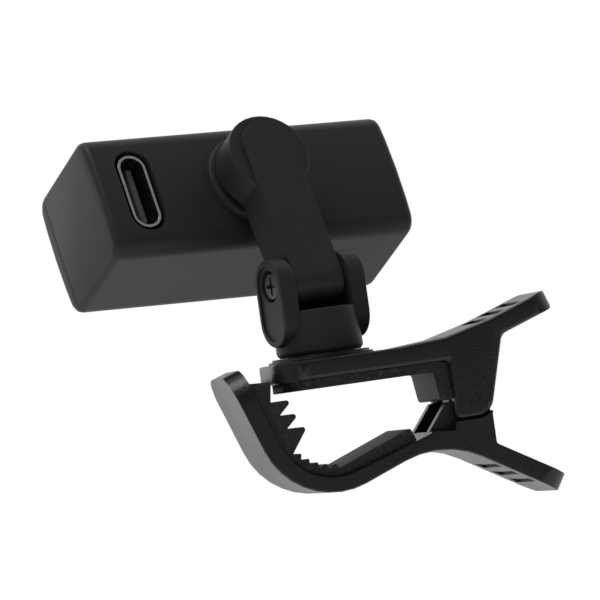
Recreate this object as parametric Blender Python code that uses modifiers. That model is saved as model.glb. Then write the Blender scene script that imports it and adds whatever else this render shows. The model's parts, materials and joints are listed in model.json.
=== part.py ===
"""Clip-on instrument tuner: a display head on a two-axis arm, over a sprung clip.

Run with: blender --background --python part.py

World frame, in metres: the origin lies on the upper jaw's flat grip face, under the swivel axis.
+X runs from the jaw tips to the finger handles, +Y to the side that the display faces, and
+Z up along the swivel axis. The arm and the head stand as they do on a tuner turned to its user.
"""
from math import asin, atan2, ceil, cos, pi, radians, sin, sqrt, tan

import bmesh
import bpy
from mathutils import Matrix, Vector

MM = 0.001

# ---------------------------------------------------------------- driving dimensions
FIT_GAP = 0.25 * MM             # between pieces that touch on the real object
RUN_GAP = 0.25 * MM             # around a shaft in its bore
SKIN = 0.10 * MM                # ledge left where a pocket stops just short of a face
PAST = 2.0 * MM                 # how far a cutter runs out past what it cuts
ARC_STEP = radians(11)          # turn of one facet of an arc

CLIP_WIDTH = 14.0 * MM
CLIP_EDGE = 0.45 * MM           # rounding of the levers' long edges
PAD_PLATE = 0.75 * MM           # rubber plate under the upper lever
PAD_SIDE_INSET = 0.75 * MM      # how much the pads stop short of the levers' sides
BEAM_THICK = 2.1 * MM
JAW_TIP_X = -6.2 * MM
TIP_ROUND = 3.6 * MM            # corner rounding of both jaw tips, seen from above
UPPER_BEND_X = 12.6 * MM        # where the upper beam's and handle's top lines would cross
UPPER_BEND_R = 30.0 * MM
UPPER_HANDLE_RISE = radians(19.5)
UPPER_HANDLE_LONG = 12.0 * MM
HANDLE_ROUND = 2.6 * MM

PIVOT_X = 14.6 * MM
PIVOT_DROP = 4.2 * MM           # from the beam's underside to the clip pin's axis
PIN_R = 0.9 * MM
CHEEK_THICK = 1.6 * MM          # the upper lever's side cheeks
CHEEK_BOSS_R = 2.1 * MM         # rounding of a cheek around the pin
CHEEK_FRONT_X = 12.4 * MM
CHEEK_BACK_LEAN = radians(15.5)
PIN_SKIN = 0.6 * MM             # plastic left outside the pin's blind end bores
DIMPLE_R = 0.65 * MM
DIMPLE_DEEP = 0.2 * MM

HOOK_TIP = (-11.55 * MM, 2.45 * MM)
HOOK_HEEL = (-5.9 * MM, -13.6 * MM)
HOOK_HEEL_R = 8.0 * MM
LOWER_CREST = (10.6 * MM, -7.25 * MM)
LOWER_CREST_R = 9.5 * MM
LOWER_HANDLE_FALL = radians(31)
LOWER_HANDLE_LONG = 13.9 * MM
LOWER_THICK = 1.95 * MM
INNER_CHEEK_THICK = 1.5 * MM    # the lower lever's cheeks, inside the upper lever's
INNER_CHEEK_FOOT_X = 9.35 * MM
INNER_CHEEK_LEAN = radians(51)   # slope of the lower cheeks' front edges
SHOULDER_FRONT_X = 12.0 * MM
LOWER_BACK_X = 16.3 * MM        # back edge of the lower lever's cheeks and shoulders

PAD_TIP_X = -5.1 * MM
PAD_TIP_ROUND = 3.0 * MM
STOP_FRONT_X = 10.6 * MM        # rubber stop block that the lower cheeks close against
STOP_LEAN = 0.4 * MM
STOP_DEEP = 3.1 * MM
FLAT_PAD_THICK = 0.6 * MM      # smooth part of the lower pad
FLAT_PAD_END_X = 7.6 * MM
TOOTH_COUNT = 5
TOOTH_PITCH = radians(11.3)
TOOTH_FIRST = radians(217)
TOOTH_TALL = 0.6 * MM
TOOTH_BASE = 0.3 * MM
FINGER_COUNT = 3
FINGER_PITCH = 1.63 * MM
FINGER_LONG = 2.6 * MM
FINGER_LIFT = radians(8)
FINGER_BASE = 0.8 * MM
FINGER_TOP_Z = -1.0 * MM       # height of the first long finger's root
PAD_HEAD_Z = 1.55 * MM          # top of the lower pad, against the hook
PAD_HEAD_LONG = 2.1 * MM

GROOVE_COUNT = 3
GROOVE_PITCH = 2.0 * MM
GROOVE_DEEP = 0.35 * MM
GROOVE_LONG = 1.1 * MM
GROOVE_SIDE_INSET = 2.0 * MM
GROOVE_END_INSET = 2.6 * MM

SPRING_WIRE_R = 0.3 * MM
SPRING_TURNS = 4
SPRING_PITCH = 0.95 * MM
SPRING_CLEAR = 0.4 * MM         # from the pin to the inside of the coil

SEAT_R = 5.65 * MM              # round seat on the beam under the swivel
SEAT_TALL = 0.5 * MM
SEAT_STEP = 0.4 * MM
SCREW_R = 0.9 * MM
SCREW_HEAD_R = 1.9 * MM
SCREW_HEAD_TALL = 0.8 * MM
DRUM_FOOT_R = 4.7 * MM
DRUM_TOP_R = 4.45 * MM
DRUM_TALL = 4.6 * MM
DRUM_EDGE = 0.35 * MM
HINGE_TALL = 7.58 * MM          # from the drum's foot to the tilt axis
EAR_R = 2.9 * MM
EAR_THICK = 2.05 * MM
EAR_FOOT = 0.95 * MM            # from the drum's foot to the ears' lower ends
EAR_POCKET_DEEP = 0.25 * MM
EAR_POCKET_RIM = 0.7 * MM
HINGE_SCREW_R = 0.8 * MM
HINGE_HEAD_R = 1.5 * MM
HINGE_HEAD_TALL = 0.7 * MM
HINGE_HEAD_SUNK = 0.45 * MM     # from the ear's face to the screw head's face
NUT_HALF_FLATS = 1.6 * MM
NUT_TALL = 1.0 * MM
CROSS_WIDE = 0.35 * MM
CROSS_DEEP = 0.4 * MM
SWIVEL_BORE_DEEP = 4.1 * MM     # of the drum's blind screw bore
WASHER_TALL = 0.5 * MM
WASHER_R = 3.2 * MM

ARM_WIDTH = 5.9 * MM
ARM_FRONT = 2.2 * MM            # from the tilt axis to the arm's outer face
ARM_BACK = 2.6 * MM             # from the tilt axis to the arm's face towards the head
BARREL_R = 2.2 * MM
TILT_STOP_Y = 2.35 * MM         # near face of the low wall between the ears
TILT_STOP_TALL = 5.6 * MM
TILT_STOP_THICK = 1.2 * MM
ARM_LONG = 15.17 * MM           # from the tilt axis to the spin axis
ARM_BOSS_R = 4.7 * MM
ARM_BOSS_DROP = 0.4 * MM        # how far the round boss lies below the bar's face
ARM_TOP_OFFSET = 0.9 * MM       # the bar's rounded end over the spin axis
ARM_BORE_SKIN = 1.4 * MM        # of material in front of the arm's blind bore
ARM_EDGE = 0.3 * MM
ARM_HEEL_UP = 1.2 * MM          # from the tilt axis up to where the arm reaches its full depth
BOSS_FILLET = 1.6 * MM          # between the round boss and the bar's sides

HEAD_LONG = 36.4 * MM
HEAD_TALL = 14.6 * MM
HEAD_DEEP = 15.0 * MM
HEAD_CORNER = 2.0 * MM
HEAD_CROWN = 0.5 * MM           # how far the back and the front bulge
HEAD_END_EDGE = 0.8 * MM
HEAD_WALL = 1.3 * MM
HEAD_STANDOFF = 3.8 * MM        # from the arm's plane through the tilt axis to the head's back
BEZEL_DEEP = 1.95 * MM
BEZEL_FACE = 1.2 * MM
PEDESTAL_R = 5.2 * MM
PEDESTAL_TALL = 0.8 * MM
PEDESTAL_DISH_R = 4.3 * MM
PEDESTAL_DISH_DEEP = 0.3 * MM

USB_X = 4.85 * MM - HEAD_LONG / 2
USB_SHELL_LONG = 8.94 * MM
USB_SHELL_WIDE = 3.26 * MM
USB_SHELL_WALL = 0.3 * MM
USB_SUNK = 0.45 * MM            # from the back face to the metal shell's mouth
USB_HOLE_CLEAR = 0.46 * MM      # between the shell and the housing's opening
USB_TONGUE_LONG = 6.6 * MM
USB_TONGUE_THICK = 0.7 * MM
USB_TONGUE_SUNK = 1.0 * MM      # from the shell's mouth to the tongue's tip
USB_BASE_DEEP = 1.4 * MM

BOARD_BACK = 8.6 * MM          # from the head's back face to the circuit board
BOARD_THICK = 0.8 * MM
BOARD_SIDE_GAP = 0.6 * MM
POST_R = 1.4 * MM
POST_SCREW_R = 0.45 * MM
POST_SCREW_HEAD_R = 0.95 * MM
POST_SCREW_HEAD_TALL = 0.4 * MM
POST_SCREW_LONG = 5.0 * MM
LEFT_POST_X = 8.3 * MM - HEAD_LONG / 2
RIGHT_POST_X = HEAD_LONG / 2 - 3.6 * MM
POST_Z = HEAD_TALL / 2 - 3.4 * MM
BATTERY_SIZE = (HEAD_LONG - 22.4 * MM, 3.0 * MM, HEAD_TALL - 5.0 * MM)
BATTERY_X = -0.6 * MM
PIEZO_X = HEAD_LONG / 2 - 8.3 * MM
PIEZO_R = 4.0 * MM
PIEZO_PLATE = 0.25 * MM
PIEZO_CERAMIC_R = 2.8 * MM
PIEZO_TALL = 0.5 * MM
CHIP_SIZE = (4.4 * MM, 0.9 * MM, 4.4 * MM)
CHIP_X = HEAD_LONG / 2 - 8.0 * MM
CHIP_Z = -1.9 * MM
SPIN_WASHER_TALL = 0.4 * MM
SPIN_WASHER_R = 2.6 * MM
SPIN_HEAD_TALL = 0.9 * MM

BUTTON_HALF_LONG = 1.7 * MM
BUTTON_HALF_WIDE = 1.1 * MM
BUTTON_PROUD = 0.6 * MM
BUTTON_TRAVEL = 0.4 * MM
BUTTON_LIP = 0.3 * MM
BUTTON_LIP_TALL = 0.6 * MM
BUTTON_Y = 6.9 * MM             # from the head's back face to the buttons' middle
BUTTON_POST_HALF = 0.5 * MM
BUTTON_STEM = 0.3 * MM          # how far the button's stem reaches below its lip
POWER_BUTTON_X = HEAD_LONG / 2 - 8.6 * MM
MODE_BUTTON_X = HEAD_LONG / 2 - 4.2 * MM
SWITCH_SIZE = (3.6 * MM, 2.2 * MM, 2.4 * MM)
SWITCH_PLUNGER_TALL = 0.3 * MM
SWITCH_PLUNGER_HALF = 0.5 * MM
SWITCH_REST_GAP = 0.1 * MM      # left between button and plunger at full travel

WINDOW_LONG = HEAD_LONG - 8.4 * MM
WINDOW_TALL = HEAD_TALL - 4.4 * MM
WINDOW_ROUND = 1.0 * MM
LENS_THICK = 0.95 * MM
LENS_SUNK = 0.1 * MM
MASK_THICK = 0.45 * MM
MASK_BORDER = 1.0 * MM
LCD_SIZE = (WINDOW_LONG + 1.0 * MM, 1.1 * MM, WINDOW_TALL + 0.6 * MM)
BACKLIGHT_SIZE = (WINDOW_LONG, 0.5 * MM, WINDOW_TALL - 0.2 * MM)

# the pose that the tuner is modelled in
SWIVEL_REST = radians(18.4)
TILT_REST = radians(25.8)
SPIN_REST = radians(-2.0)

# ---------------------------------------------------------------- places worked out from them
BEAM_UNDER = PAD_PLATE + FIT_GAP
BEAM_TOP = BEAM_UNDER + BEAM_THICK
PIVOT = (PIVOT_X, BEAM_UNDER - PIVOT_DROP)
HALF_CLIP = CLIP_WIDTH / 2
CHEEK_INSIDE = HALF_CLIP - CHEEK_THICK
INNER_CHEEK_OUT = CHEEK_INSIDE - FIT_GAP
INNER_CHEEK_IN = INNER_CHEEK_OUT - INNER_CHEEK_THICK
CHEEK_FOOT_Z = PIVOT[1] - CHEEK_BOSS_R
SHOULDER_R = CHEEK_BOSS_R + FIT_GAP
SHOULDER_Z = PIVOT[1] - SHOULDER_R
PIN_BORE_R = PIN_R + RUN_GAP
PAD_HALF = HALF_CLIP - PAD_SIDE_INSET
SEAT_TOP = BEAM_TOP + SEAT_TALL
DRUM_Z = SEAT_TOP + FIT_GAP
SCREW_BORE_R = SCREW_R + RUN_GAP
SCREW_HEAD_Z = BEAM_UNDER + FIT_GAP
SLOT_HALF = ARM_WIDTH / 2 + FIT_GAP
EAR_OUT = SLOT_HALF + EAR_THICK
HALF_LONG = HEAD_LONG / 2
HALF_TALL = HEAD_TALL / 2
BEZEL_BACK = HEAD_DEEP - BEZEL_DEEP
HOUSING_FRONT = BEZEL_BACK - FIT_GAP
ROOM_TOP = HALF_TALL - HEAD_WALL
ROOM_END = HALF_LONG - HEAD_WALL
BOARD_FRONT = BOARD_BACK + BOARD_THICK
SPIN_HEAD_Y = HEAD_WALL + 2 * FIT_GAP + SPIN_WASHER_TALL
NUT_IN_X = EAR_OUT - EAR_POCKET_DEEP - NUT_TALL
MASK_ROOM_FRONT = HEAD_DEEP - BEZEL_FACE
MASK_FRONT = MASK_ROOM_FRONT - FIT_GAP


# ---------------------------------------------------------------- scene and materials
def clear_scene():
    for old in list(bpy.data.objects):
        bpy.data.objects.remove(old, do_unlink=True)


def new_collection(name):
    collection = bpy.data.collections.new(name)
    bpy.context.scene.collection.children.link(collection)
    return collection


clear_scene()
PARTS = new_collection("clip_on_tuner")
CUTTERS = new_collection("cutters")


def new_material(name, colour, roughness, metallic=0.0):
    material = bpy.data.materials.new(name)
    material.use_nodes = True
    shader = material.node_tree.nodes["Principled BSDF"]
    shader.inputs["Base Color"].default_value = (*colour, 1.0)
    shader.inputs["Roughness"].default_value = roughness
    shader.inputs["Metallic"].default_value = metallic
    return material


FINISHES = {
    "housing_plastic": ((0.022, 0.022, 0.024), 0.42, 0.0),
    "clip_plastic": ((0.018, 0.018, 0.019), 0.55, 0.0),
    "grip_rubber": ((0.025, 0.024, 0.024), 0.85, 0.0),
    "bright_steel": ((0.62, 0.61, 0.58), 0.28, 1.0),
    "black_steel": ((0.05, 0.05, 0.05), 0.4, 0.9),
    "spring_steel": ((0.45, 0.45, 0.46), 0.3, 1.0),
    "nylon": ((0.75, 0.74, 0.70), 0.5, 0.0),
    "usb_insulator": ((0.02, 0.02, 0.02), 0.5, 0.0),
    "lens": ((0.01, 0.01, 0.012), 0.08, 0.0),
    "lcd_glass": ((0.04, 0.05, 0.05), 0.1, 0.0),
    "light_diffuser": ((0.85, 0.86, 0.84), 0.5, 0.0),
    "board_laminate": ((0.02, 0.12, 0.06), 0.5, 0.0),
    "chip_epoxy": ((0.02, 0.02, 0.02), 0.6, 0.0),
    "battery_foil": ((0.6, 0.6, 0.58), 0.35, 0.6),
    "piezo_brass": ((0.75, 0.55, 0.22), 0.35, 1.0),
    "button_rubber": ((0.03, 0.03, 0.03), 0.7, 0.0),
}


# ---------------------------------------------------------------- outlines in two coordinates
def turned_by(angle, along, across=0.0):
    """A point along a direction, and across it to its left."""
    return (along * cos(angle) - across * sin(angle), along * sin(angle) + across * cos(angle))


def added(point, step):
    return (point[0] + step[0], point[1] + step[1])


def arc_points(centre, radius, start, end):
    count = max(1, ceil(abs(end - start) / ARC_STEP))
    angles = [start + (end - start) * i / count for i in range(count + 1)]
    return [added(centre, turned_by(angle, radius)) for angle in angles]


def rounded(corners):
    """An outline from (u, v, radius) corners: each corner becomes an arc where it has a radius."""
    points = []
    for i, (u, v, radius) in enumerate(corners):
        before = corners[i - 1]
        after = corners[(i + 1) % len(corners)]
        if radius <= 0.0:
            points.append((u, v))
            continue
        angle_in = atan2(v - before[1], u - before[0])
        angle_out = atan2(after[1] - v, after[0] - u)
        turn = (angle_out - angle_in + pi) % (2 * pi) - pi
        side = 1.0 if turn > 0 else -1.0
        setback = radius * tan(abs(turn) / 2)
        start = added((u, v), turned_by(angle_in, -setback))
        centre = added(start, turned_by(angle_in, 0.0, side * radius))
        first = angle_in - side * pi / 2
        points += arc_points(centre, radius, first, first + turn)
    return points


def offset_run(corners, distance):
    """The same open run of (u, v, radius) corners, moved to its left, its arcs concentric."""
    headings = [atan2(b[1] - a[1], b[0] - a[0]) for a, b in zip(corners, corners[1:])]
    moved = []
    for i, (u, v, radius) in enumerate(corners):
        angle_in = headings[max(i - 1, 0)]
        angle_out = headings[min(i, len(headings) - 1)]
        turn = angle_out - angle_in
        step = turned_by(angle_in + turn / 2, 0.0, distance / cos(turn / 2))
        grown = distance if turn < 0 else -distance
        moved.append((*added((u, v), step), radius + grown if radius > 0.0 else 0.0))
    return moved


def clipped(run, low_u, high_u):
    """The stretch of a left-to-right run of points between two u values."""
    points = list(run)
    for a, b in zip(run, run[1:]):
        for limit in (low_u, high_u):
            if a[0] < limit < b[0]:
                share = (limit - a[0]) / (b[0] - a[0])
                points.append((limit, a[1] + share * (b[1] - a[1])))
    return sorted(point for point in points if low_u <= point[0] <= high_u)


def stadium(centre_u, low_v, high_v, radius):
    """A slot outline: round ends of one radius, standing along v between two end heights."""
    bottom = arc_points((centre_u, low_v + radius), radius, pi, 2 * pi)
    top = arc_points((centre_u, high_v - radius), radius, 0.0, pi)
    return bottom + top


def rectangle(half_u, half_v, radius=0.0, middle=(0.0, 0.0)):
    signs = ((-1, -1), (1, -1), (1, 1), (-1, 1))
    return rounded([(middle[0] + a * half_u, middle[1] + b * half_v, radius) for a, b in signs])


# ---------------------------------------------------------------- solids
AXES = {
    "X": Matrix(((0, 0, 1), (1, 0, 0), (0, 1, 0))).to_4x4(),
    "Y": Matrix(((1, 0, 0), (0, 0, -1), (0, 1, 0))).to_4x4(),
    "Z": Matrix.Identity(4),
}


def keep(name, mesh, collection):
    solid = bpy.data.objects.new(name, mesh)
    collection.objects.link(solid)
    if collection is CUTTERS:
        solid.hide_render = True
        solid.display_type = "WIRE"
    return solid


def prism(name, outline, low, high, axis, collection=CUTTERS):
    """An outline, in the two axes that follow the given one, filled between two stations on it.

    The outline of a prism along Y is in X and Z.
    """
    curve = bpy.data.curves.new(name, "CURVE")
    curve.dimensions = "2D"
    curve.fill_mode = "BOTH"
    curve.extrude = (high - low) / 2
    spline = curve.splines.new("POLY")
    spline.points.add(len(outline) - 1)
    for point, (u, v) in zip(spline.points, outline):
        point.co = (u, v, 0.0, 1.0)
    spline.use_cyclic_u = True
    drawn = keep(name + "_outline", curve, CUTTERS)
    graph = bpy.context.evaluated_depsgraph_get()
    mesh = bpy.data.meshes.new_from_object(drawn.evaluated_get(graph))
    bpy.data.objects.remove(drawn, do_unlink=True)
    middle = (low + high) / 2
    lift = Vector((0.0, 0.0, -middle if axis == "Y" else middle))
    bm = bmesh.new()
    bm.from_mesh(mesh)
    bmesh.ops.remove_doubles(bm, verts=bm.verts, dist=0.001 * MM)
    bmesh.ops.dissolve_limit(bm, angle_limit=radians(0.5), verts=bm.verts, edges=bm.edges)
    bmesh.ops.translate(bm, verts=bm.verts, vec=lift)
    bmesh.ops.transform(bm, matrix=AXES[axis], verts=bm.verts)
    bmesh.ops.recalc_face_normals(bm, faces=bm.faces)
    bm.to_mesh(mesh)
    bm.free()
    mesh.name = name
    return keep(name, mesh, collection)


def cylinder(name, radius, low, high, axis, centre=(0.0, 0.0), top_radius=None,
             collection=CUTTERS, sides=32):
    """A round bar between two stations on an axis; its centre is in the two other axes."""
    bm = bmesh.new()
    bmesh.ops.create_cone(bm, cap_ends=True, segments=sides, radius1=radius,
                          radius2=radius if top_radius is None else top_radius,
                          depth=high - low)
    middle = (low + high) / 2
    height = -middle if axis == "Y" else middle
    bmesh.ops.translate(bm, verts=bm.verts, vec=(*centre, height))
    bmesh.ops.transform(bm, matrix=AXES[axis], verts=bm.verts)
    mesh = bpy.data.meshes.new(name)
    bm.to_mesh(mesh)
    bm.free()
    return keep(name, mesh, collection)


def block(name, low, high, collection=CUTTERS):
    bm = bmesh.new()
    bmesh.ops.create_cube(bm, size=1.0)
    size = Vector(high) - Vector(low)
    bmesh.ops.scale(bm, verts=bm.verts, vec=size)
    bmesh.ops.translate(bm, verts=bm.verts, vec=Vector(low) + size / 2)
    mesh = bpy.data.meshes.new(name)
    bm.to_mesh(mesh)
    bm.free()
    return keep(name, mesh, collection)


def part(solid, finish, frame=None):
    """Make a solid a named piece: its finish, its collection and its joint's frame."""
    if finish not in bpy.data.materials:
        new_material(finish, *FINISHES[finish])
    solid.data.materials.clear()
    solid.data.materials.append(bpy.data.materials[finish])
    if solid.name not in PARTS.objects:
        CUTTERS.objects.unlink(solid)
        PARTS.objects.link(solid)
        solid.hide_render = False
        solid.display_type = "TEXTURED"
    solid.data.shade_smooth()
    solid.data.set_sharp_from_angle(angle=radians(35))
    solid.parent = frame
    return solid


def combine(solid, tool, operation):
    """A live Boolean of two solids, for tools made in the same frame as the solid."""
    tool.parent = solid.parent
    step = solid.modifiers.new(tool.name, "BOOLEAN")
    step.operation = operation
    step.object = tool
    step.solver = "EXACT"


def cut(solid, *tools):
    for tool in tools:
        combine(solid, tool, "DIFFERENCE")


def weld_on(solid, *tools):
    for tool in tools:
        combine(solid, tool, "UNION")


def trim_to(solid, tool):
    combine(solid, tool, "INTERSECT")


def soften(solid, width, segments=2, angle=radians(50)):
    edge = solid.modifiers.new("soft_edges", "BEVEL")
    edge.width = width
    edge.segments = segments
    edge.limit_method = "ANGLE"
    edge.angle_limit = angle


def new_frame(name, location, rotation=(0.0, 0.0, 0.0), parent=None):
    frame = bpy.data.objects.new(name, None)
    frame.empty_display_size = 3 * MM
    frame.location = location
    frame.rotation_euler = rotation
    frame.parent = parent
    PARTS.objects.link(frame)
    return frame


# ---------------------------------------------------------------- frames on the joint axes
CLIP_FRAME = new_frame("clip_frame", (0.0, 0.0, 0.0))
JAW_FRAME = new_frame("jaw_frame", (PIVOT[0], 0.0, PIVOT[1]))
SWIVEL_FRAME = new_frame("swivel_frame", (0.0, 0.0, DRUM_Z), (0.0, 0.0, SWIVEL_REST))
TILT_FRAME = new_frame("tilt_frame", (0.0, 0.0, HINGE_TALL), (-TILT_REST, 0.0, 0.0), SWIVEL_FRAME)
HEAD_FRAME = new_frame("head_frame", (0.0, HEAD_STANDOFF, ARM_LONG), (0.0, -SPIN_REST, 0.0),
                       TILT_FRAME)


def from_pivot(points):
    """Points of the clip's own outlines, measured from the clip pin instead."""
    return [(u - PIVOT[0], v - PIVOT[1]) for u, v in points]


# ---------------------------------------------------------------- the clip
def tip_cutter(name, tip, angle, half_width, radius, reach):
    """Rounds both corners of a flat lever's end, which points along an angle in X and Z."""
    end = arc_points((half_width - radius, -radius), radius, 0.0, pi / 2)
    end += arc_points((radius - half_width, -radius), radius, pi / 2, pi)
    brim = [(-half_width - PAST, -radius), (-half_width - PAST, PAST),
            (half_width + PAST, PAST), (half_width + PAST, -radius)]
    cutter = prism(name, end + brim, -reach, reach, "Z")
    cutter.data.transform(Matrix.Rotation(-pi / 2, 4, "Z"))
    cutter.data.transform(Matrix.Rotation(-angle, 4, "Y"))
    cutter.data.transform(Matrix.Translation((tip[0], 0.0, tip[1])))
    return cutter


def groove_cutters(name, tip, angle, outward):
    """Saw-tooth grip grooves across a handle's outer face, counted back from its tip."""
    made = []
    half = HALF_CLIP - GROOVE_SIDE_INSET
    for i in range(GROOVE_COUNT):
        back = GROOVE_END_INSET + i * GROOVE_PITCH
        steep = turned_by(angle, -back, -outward * GROOVE_DEEP)
        mouth = turned_by(angle, -back, outward * GROOVE_DEEP)
        shallow = turned_by(angle, -back - 2 * GROOVE_LONG, outward * GROOVE_DEEP)
        outline = [added(tip, corner) for corner in (steep, mouth, shallow)]
        made.append(prism(f"{name}_{i + 1}", outline, -half, half, "Y"))
    return made


UPPER_TOP = [
    (JAW_TIP_X, BEAM_TOP, 0.0),
    (UPPER_BEND_X, BEAM_TOP, UPPER_BEND_R),
    (*added((UPPER_BEND_X, BEAM_TOP), turned_by(UPPER_HANDLE_RISE, UPPER_HANDLE_LONG)), 0.0),
]
UPPER_UNDER = offset_run(UPPER_TOP, -BEAM_THICK)
LOWER_OUT = [
    (*HOOK_TIP, 0.0),
    (*HOOK_HEEL, HOOK_HEEL_R),
    (*LOWER_CREST, LOWER_CREST_R),
    (*added(LOWER_CREST, turned_by(-LOWER_HANDLE_FALL, LOWER_HANDLE_LONG)), 0.0),
]
LOWER_IN = offset_run(LOWER_OUT, LOWER_THICK)


def cheek_back_x(height):
    """Where the upper cheeks' leaning back edge, tangent to their boss, is at a height."""
    lean = CHEEK_BACK_LEAN
    along = (height - PIVOT[1] + CHEEK_BOSS_R * sin(lean)) / cos(lean)
    return PIVOT[0] + CHEEK_BOSS_R * cos(lean) + along * sin(lean)


def make_upper_lever():
    cheek_roof = BEAM_TOP
    under = UPPER_UNDER
    handle_under_z = under[1][1] + (cheek_back_x(cheek_roof) - under[1][0]) * tan(UPPER_HANDLE_RISE)
    outline = UPPER_TOP + [
        (*under[2][:2], 0.0),
        (cheek_back_x(handle_under_z), handle_under_z, 0.0),
        (cheek_back_x(CHEEK_FOOT_Z), CHEEK_FOOT_Z, CHEEK_BOSS_R * 0.98),
        (CHEEK_FRONT_X, CHEEK_FOOT_Z, 0.0),
        (CHEEK_FRONT_X, BEAM_UNDER, 0.0),
        (*under[0][:2], 0.0),
    ]
    lever = prism("upper_lever", rounded(outline[::-1]), -HALF_CLIP, HALF_CLIP, "Y", PARTS)
    part(lever, "clip_plastic", CLIP_FRAME)
    soften(lever, CLIP_EDGE)
    handle_tip = UPPER_TOP[2][:2]
    jaw_tip = (JAW_TIP_X, BEAM_TOP)
    cut(lever, tip_cutter("upper_jaw_corners", jaw_tip, pi, HALF_CLIP, TIP_ROUND, 2 * BEAM_THICK),
        tip_cutter("upper_handle_corners", handle_tip, UPPER_HANDLE_RISE, HALF_CLIP,
                   HANDLE_ROUND, 2 * BEAM_THICK))
    roof = rounded(offset_run(UPPER_TOP, -BEAM_THICK - SKIN))
    pocket = clipped(roof, CHEEK_FRONT_X - PAST, handle_tip[0] - PAST)
    pocket += [(pocket[-1][0], CHEEK_FOOT_Z - PAST), (pocket[0][0], CHEEK_FOOT_Z - PAST)]
    cut(lever, prism("upper_pocket", pocket[::-1], -CHEEK_INSIDE, CHEEK_INSIDE, "Y"))
    pin_reach = HALF_CLIP - PIN_SKIN
    cut(lever, cylinder("upper_pin_bore", PIN_BORE_R, -pin_reach, pin_reach, "Y", PIVOT, sides=20))
    for side in (-1, 1):
        ends = sorted((side * (HALF_CLIP - DIMPLE_DEEP), side * (HALF_CLIP + PAST)))
        cut(lever, cylinder(f"pin_dimple_{side}", DIMPLE_R, *ends, "Y", PIVOT, sides=16))
    weld_on(lever, cylinder("swivel_seat", SEAT_R, BEAM_TOP - BEAM_THICK / 2, SEAT_TOP - SEAT_TALL / 2,
                            "Z", sides=48),
            cylinder("swivel_seat_step", SEAT_R - SEAT_STEP, BEAM_TOP - BEAM_THICK / 2, SEAT_TOP,
                     "Z", sides=48))
    cut(lever, cylinder("swivel_bore", SCREW_BORE_R, BEAM_UNDER - PAST, SEAT_TOP + PAST, "Z",
                        sides=24),
        cylinder("swivel_counterbore", SCREW_HEAD_R + 2 * RUN_GAP, BEAM_UNDER - PAST,
                 SCREW_HEAD_Z + SCREW_HEAD_TALL + FIT_GAP, "Z", sides=24))
    cut(lever, *groove_cutters("upper_groove", handle_tip, UPPER_HANDLE_RISE, 1))


def make_lower_lever():
    back_x = LOWER_BACK_X
    crest_in = rounded(LOWER_IN)
    back_top = PIVOT[1]
    tail = [(*LOWER_IN[3][:2], 0.0)]
    handle_in_z = LOWER_IN[2][1] - (back_x - LOWER_IN[2][0]) * tan(LOWER_HANDLE_FALL)
    stop_z = -STOP_DEEP - FIT_GAP
    crest_z = max(v for u, v in crest_in if abs(u - LOWER_CREST[0]) < LOWER_THICK)
    cheek_front = PIVOT[0] - CHEEK_BOSS_R
    foot_lean = (stop_z - crest_z) / tan(INNER_CHEEK_LEAN)
    outline = LOWER_OUT + tail
    outline += [(back_x, handle_in_z, 0.0), (back_x, PIVOT[1] - CHEEK_BOSS_R, 0.0)]
    outline += [(PIVOT[0] + CHEEK_BOSS_R, back_top, 0.0)]
    outline += [(PIVOT[0] + CHEEK_BOSS_R, PIVOT[1] + CHEEK_BOSS_R, CHEEK_BOSS_R * 0.98),
                (cheek_front, PIVOT[1] + CHEEK_BOSS_R, CHEEK_BOSS_R * 0.98),
                (cheek_front, stop_z, 0.0),
                (INNER_CHEEK_FOOT_X + foot_lean, stop_z, 0.0),
                (INNER_CHEEK_FOOT_X, crest_z - SKIN, 0.0)]
    outline += [LOWER_IN[1], (*LOWER_IN[0][:2], 0.0)]
    lever = prism("lower_lever", from_pivot(rounded(outline)), -HALF_CLIP, HALF_CLIP, "Y", PARTS)
    part(lever, "clip_plastic", JAW_FRAME)
    soften(lever, CLIP_EDGE)
    hook_angle = atan2(HOOK_TIP[1] - HOOK_HEEL[1], HOOK_TIP[0] - HOOK_HEEL[0])
    for name, tip, angle, radius in (
            ("hook_corners", HOOK_TIP, hook_angle, TIP_ROUND),
            ("lower_handle_corners", LOWER_OUT[3][:2], -LOWER_HANDLE_FALL, HANDLE_ROUND)):
        tip_from_pivot = from_pivot([tip])[0]
        cut(lever, tip_cutter(name, tip_from_pivot, angle, HALF_CLIP, radius, 2 * LOWER_THICK))
    floor = rounded(offset_run(LOWER_OUT, LOWER_THICK + SKIN))
    top_z = PIVOT[1] + CHEEK_BOSS_R + PAST
    pocket = clipped(floor, INNER_CHEEK_FOOT_X - PAST, back_x + PAST)
    pocket += [(pocket[-1][0], top_z), (pocket[0][0], top_z)]
    cut(lever, prism("lower_pocket", from_pivot(pocket), -INNER_CHEEK_IN, INNER_CHEEK_IN, "Y"))
    shoulder = clipped(floor, INNER_CHEEK_FOOT_X - PAST, SHOULDER_FRONT_X)
    shoulder += [(SHOULDER_FRONT_X + FIT_GAP, SHOULDER_Z)]
    shoulder += arc_points(PIVOT, SHOULDER_R, -pi / 2, -pi / 4)
    shoulder += [(back_x + PAST, shoulder[-1][1]), (back_x + PAST, top_z), (shoulder[0][0], top_z)]
    for side in (-1, 1):
        ends = sorted((side * INNER_CHEEK_OUT, side * (HALF_CLIP + PAST)))
        cut(lever, prism(f"shoulder_cutter_{side}", from_pivot(shoulder), *ends, "Y"))
    cut(lever, cylinder("lower_pin_bore", PIN_BORE_R, -HALF_CLIP, HALF_CLIP, "Y", sides=20))
    handle_tip = from_pivot([LOWER_OUT[3][:2]])[0]
    cut(lever, *groove_cutters("lower_groove", handle_tip, -LOWER_HANDLE_FALL, -1))


def make_clip_pin():
    reach = HALF_CLIP - PIN_SKIN - FIT_GAP
    pin = cylinder("clip_pin", PIN_R, -reach, reach, "Y", PIVOT, collection=PARTS, sides=20)
    part(pin, "bright_steel", CLIP_FRAME)


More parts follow.
